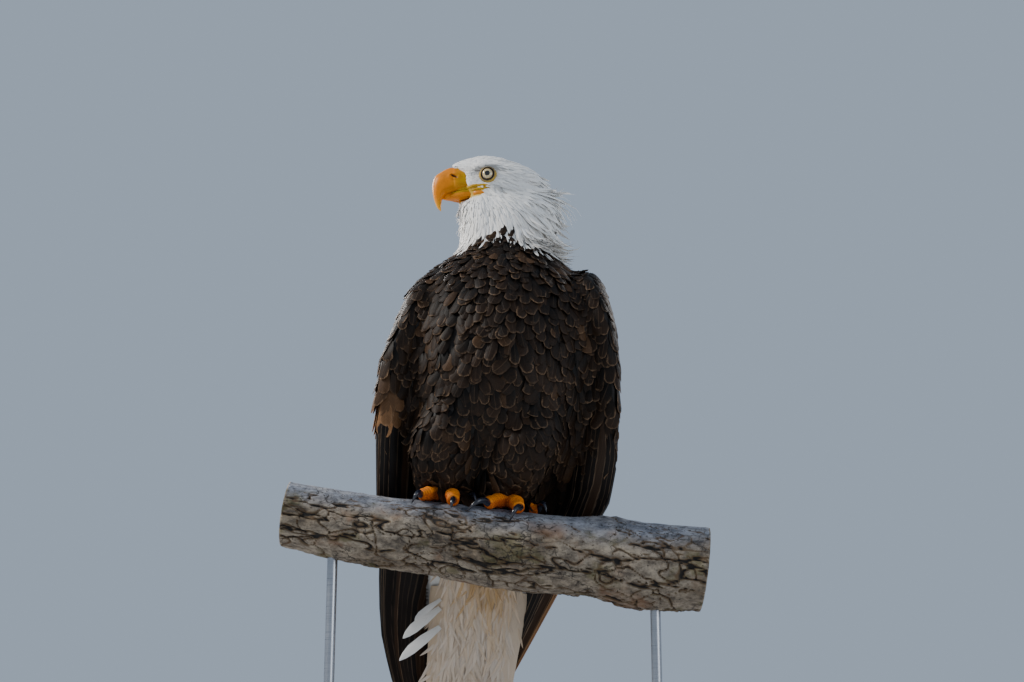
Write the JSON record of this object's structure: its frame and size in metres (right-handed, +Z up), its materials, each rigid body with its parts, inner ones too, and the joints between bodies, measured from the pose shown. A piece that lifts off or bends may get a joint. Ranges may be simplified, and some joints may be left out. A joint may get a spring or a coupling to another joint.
{
  "type": "bald eagle",
  "caption": "Life-size still model of a perched bald eagle with its head turned to its right, gripping a cut limb on a flat display stand.",
  "frame": {"origin": "middle of the base plate's underside, which rests on the floor or shelf", "axes": "+Z up, -Y the way the bird's breast faces, +X towards the bird's left wing"},
  "size_m": [0.4975, 0.34, 0.8612],
  "materials": {
    "white_feather": "white body feathers",
    "dark_feather": "dark brown body feathers with paler tips",
    "flight_feather": "near-black flight feathers",
    "bill": "satin horn, orange-yellow",
    "eye": "glossy, pale yellow iris and black pupil",
    "foot_skin": "scaled yellow-orange skin",
    "claw": "satin horn, blue-black",
    "bark": "weathered grey bark",
    "stand_wood": "dark satin varnish",
    "stand_steel": "brushed"
  },
  "bodies": {
    "root": {"bill_lower": "bill", "bill_upper": "bill", "claw_left_hind": "claw", "claw_left_inner": "claw", "claw_left_middle": "claw", "claw_left_outer": "claw", "claw_right_hind": "claw", "claw_right_inner": "claw", "claw_right_middle": "claw", "claw_right_outer": "claw", "eye_left": "eye", "eye_right": "eye", "foot_left": "foot_skin", "foot_right": "foot_skin", "head": "white_feather", "leg_left": "dark_feather", "leg_right": "dark_feather", "neck": "white_feather", "perch_limb": "bark", "stand_base": "stand_wood", "stand_rod_left": "stand_steel", "stand_rod_right": "stand_steel", "tail": "white_feather", "trunk": "dark_feather", "wing_left": "flight_feather", "wing_right": "flight_feather"}
  },
  "joints": []
}
